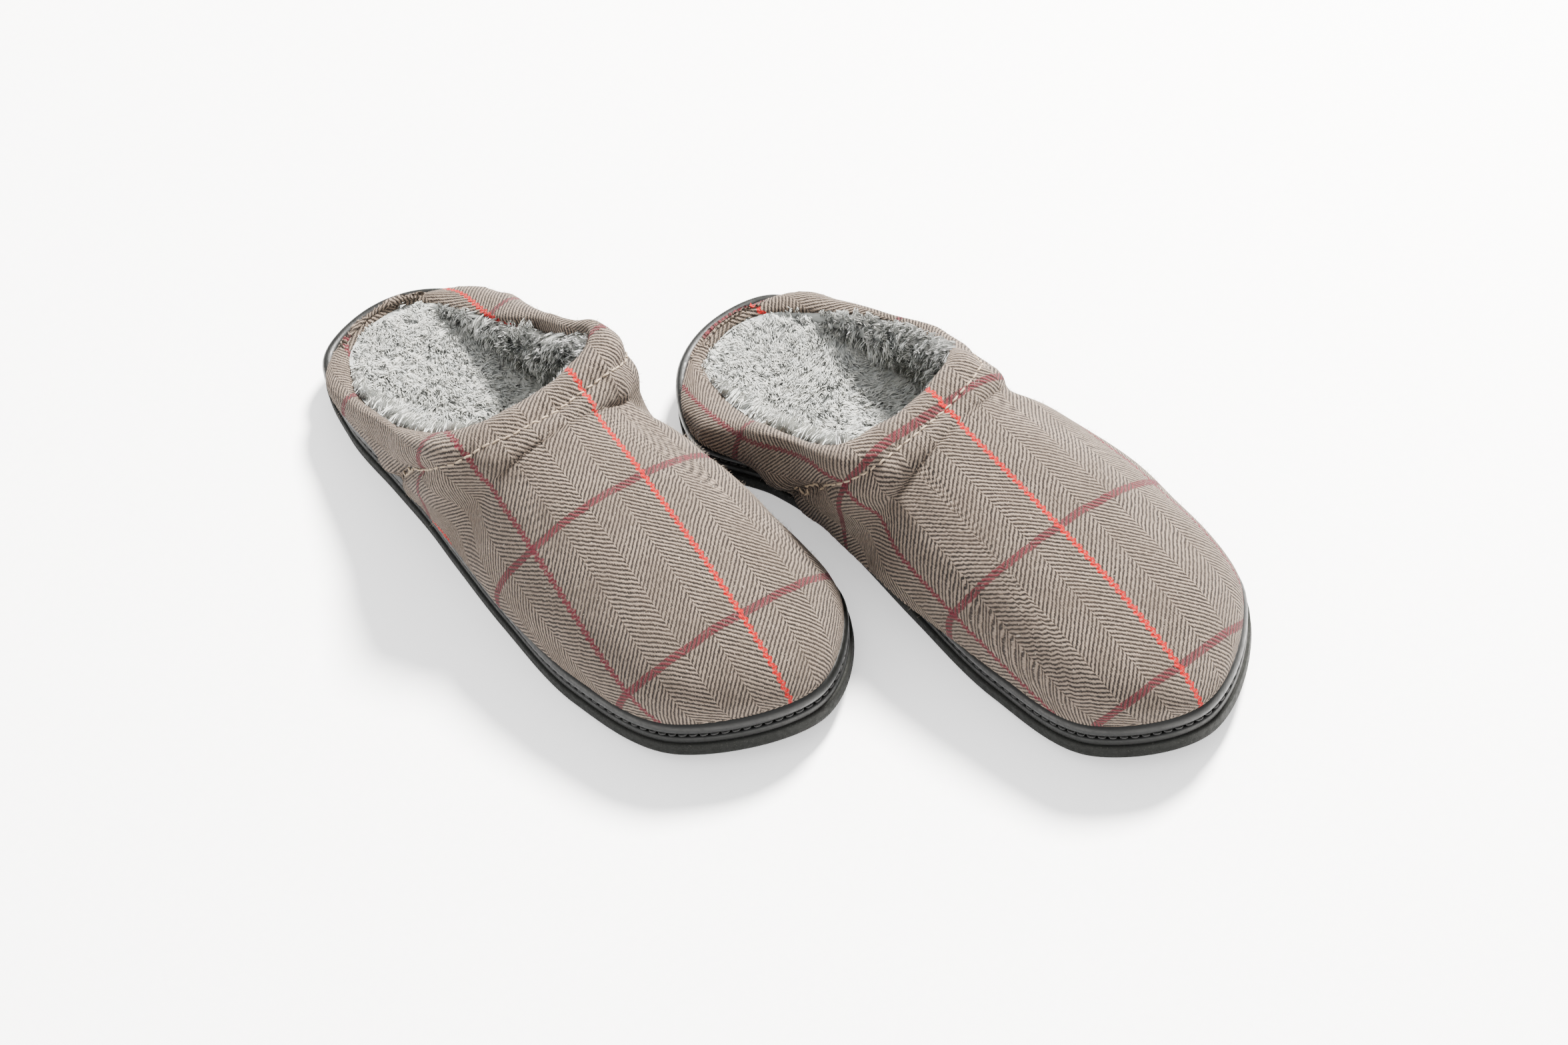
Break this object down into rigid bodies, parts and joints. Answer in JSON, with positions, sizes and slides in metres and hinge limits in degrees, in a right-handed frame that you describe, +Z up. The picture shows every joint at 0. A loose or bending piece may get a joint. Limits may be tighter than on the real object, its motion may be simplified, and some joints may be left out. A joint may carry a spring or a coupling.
{
  "type": "slippers",
  "caption": "Pair of backless padded slippers: herringbone wool uppers with a rolled collar, plush lining and insole, and stitched rubber platform soles.",
  "frame": {"origin": "centre of the pair on the floor plane", "axes": "+Y from the toes to the heels, +X towards the left slipper of the wearer, +Z up"},
  "size_m": [0.2114, 0.3941, 0.0748],
  "materials": {
    "sole_rubber": "matte, fine speckle",
    "wrap_rubber": "smooth semi-gloss",
    "black_thread": "twisted thread",
    "foam": "closed-cell foam",
    "board": "pressed fibre",
    "plush": "long soft pile",
    "tweed": "herringbone wool with a red overcheck",
    "pale_thread": "twisted thread"
  },
  "bodies": {
    "right_slipper": {"right_outsole": "sole_rubber", "right_platform_cover": "wrap_rubber", "right_edge_stitch": "black_thread", "right_edge_binding": "wrap_rubber", "right_midsole_foam": "foam", "right_insole_board": "board", "right_insole_cushion": "foam", "right_plush_sock": "plush", "right_tweed_upper": "tweed", "right_vamp_wadding": "foam", "right_collar_roll": "foam", "right_plush_lining": "plush", "right_throat_stitch": "pale_thread"},
    "left_slipper": {"left_outsole": "sole_rubber", "left_platform_cover": "wrap_rubber", "left_edge_stitch": "black_thread", "left_edge_binding": "wrap_rubber", "left_midsole_foam": "foam", "left_insole_board": "board", "left_insole_cushion": "foam", "left_plush_sock": "plush", "left_tweed_upper": "tweed", "left_vamp_wadding": "foam", "left_collar_roll": "foam", "left_plush_lining": "plush", "left_throat_stitch": "pale_thread"}
  },
  "joints": [
    {"name": "left_slipper_lift", "type": "slide", "parent": "right_slipper", "child": "left_slipper", "axis": [0, 0, 1], "range_m": [0, 0.12]}
  ]
}
